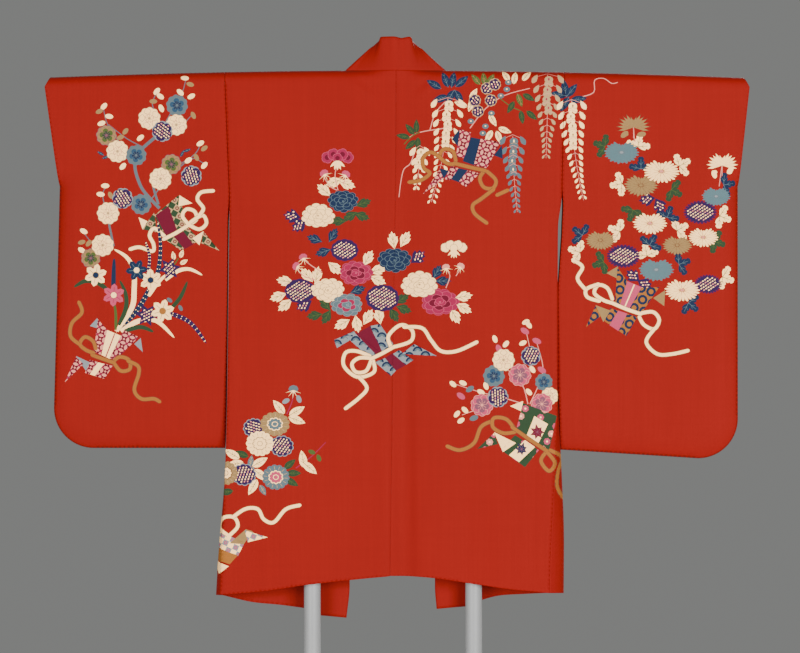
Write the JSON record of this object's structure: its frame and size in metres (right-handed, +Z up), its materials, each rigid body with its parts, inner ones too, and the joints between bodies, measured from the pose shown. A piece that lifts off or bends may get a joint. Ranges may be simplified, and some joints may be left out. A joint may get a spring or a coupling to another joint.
{
  "type": "haori on a display stand",
  "caption": "Open silk kimono jacket with bag sleeves, side gussets and a long band collar, hung flat by a rod through its sleeves on a two-post stand with a plate base.",
  "frame": {"origin": "centre of the underside of the stand's base plate, where it rests on the floor", "axes": "+Z up, +X to the right of someone looking at the back of the jacket (towards its right sleeve), +Y from the back of the jacket to its open front"},
  "size_m": [1.271, 0.34, 1.482],
  "materials": {
    "silk": "matte crepe silk, vermilion, with dyed flowers",
    "collar_silk": "matte crepe silk, plain vermilion",
    "stand_paint": "light grey satin paint"
  },
  "bodies": {
    "root": {"body_left": "silk", "body_right": "silk", "sleeve_left": "silk", "sleeve_right": "silk", "gusset_left": "silk", "gusset_right": "silk", "collar": "collar_silk", "crossbar": "stand_paint", "post_left": "stand_paint", "post_right": "stand_paint", "base_plate": "stand_paint"}
  },
  "joints": []
}
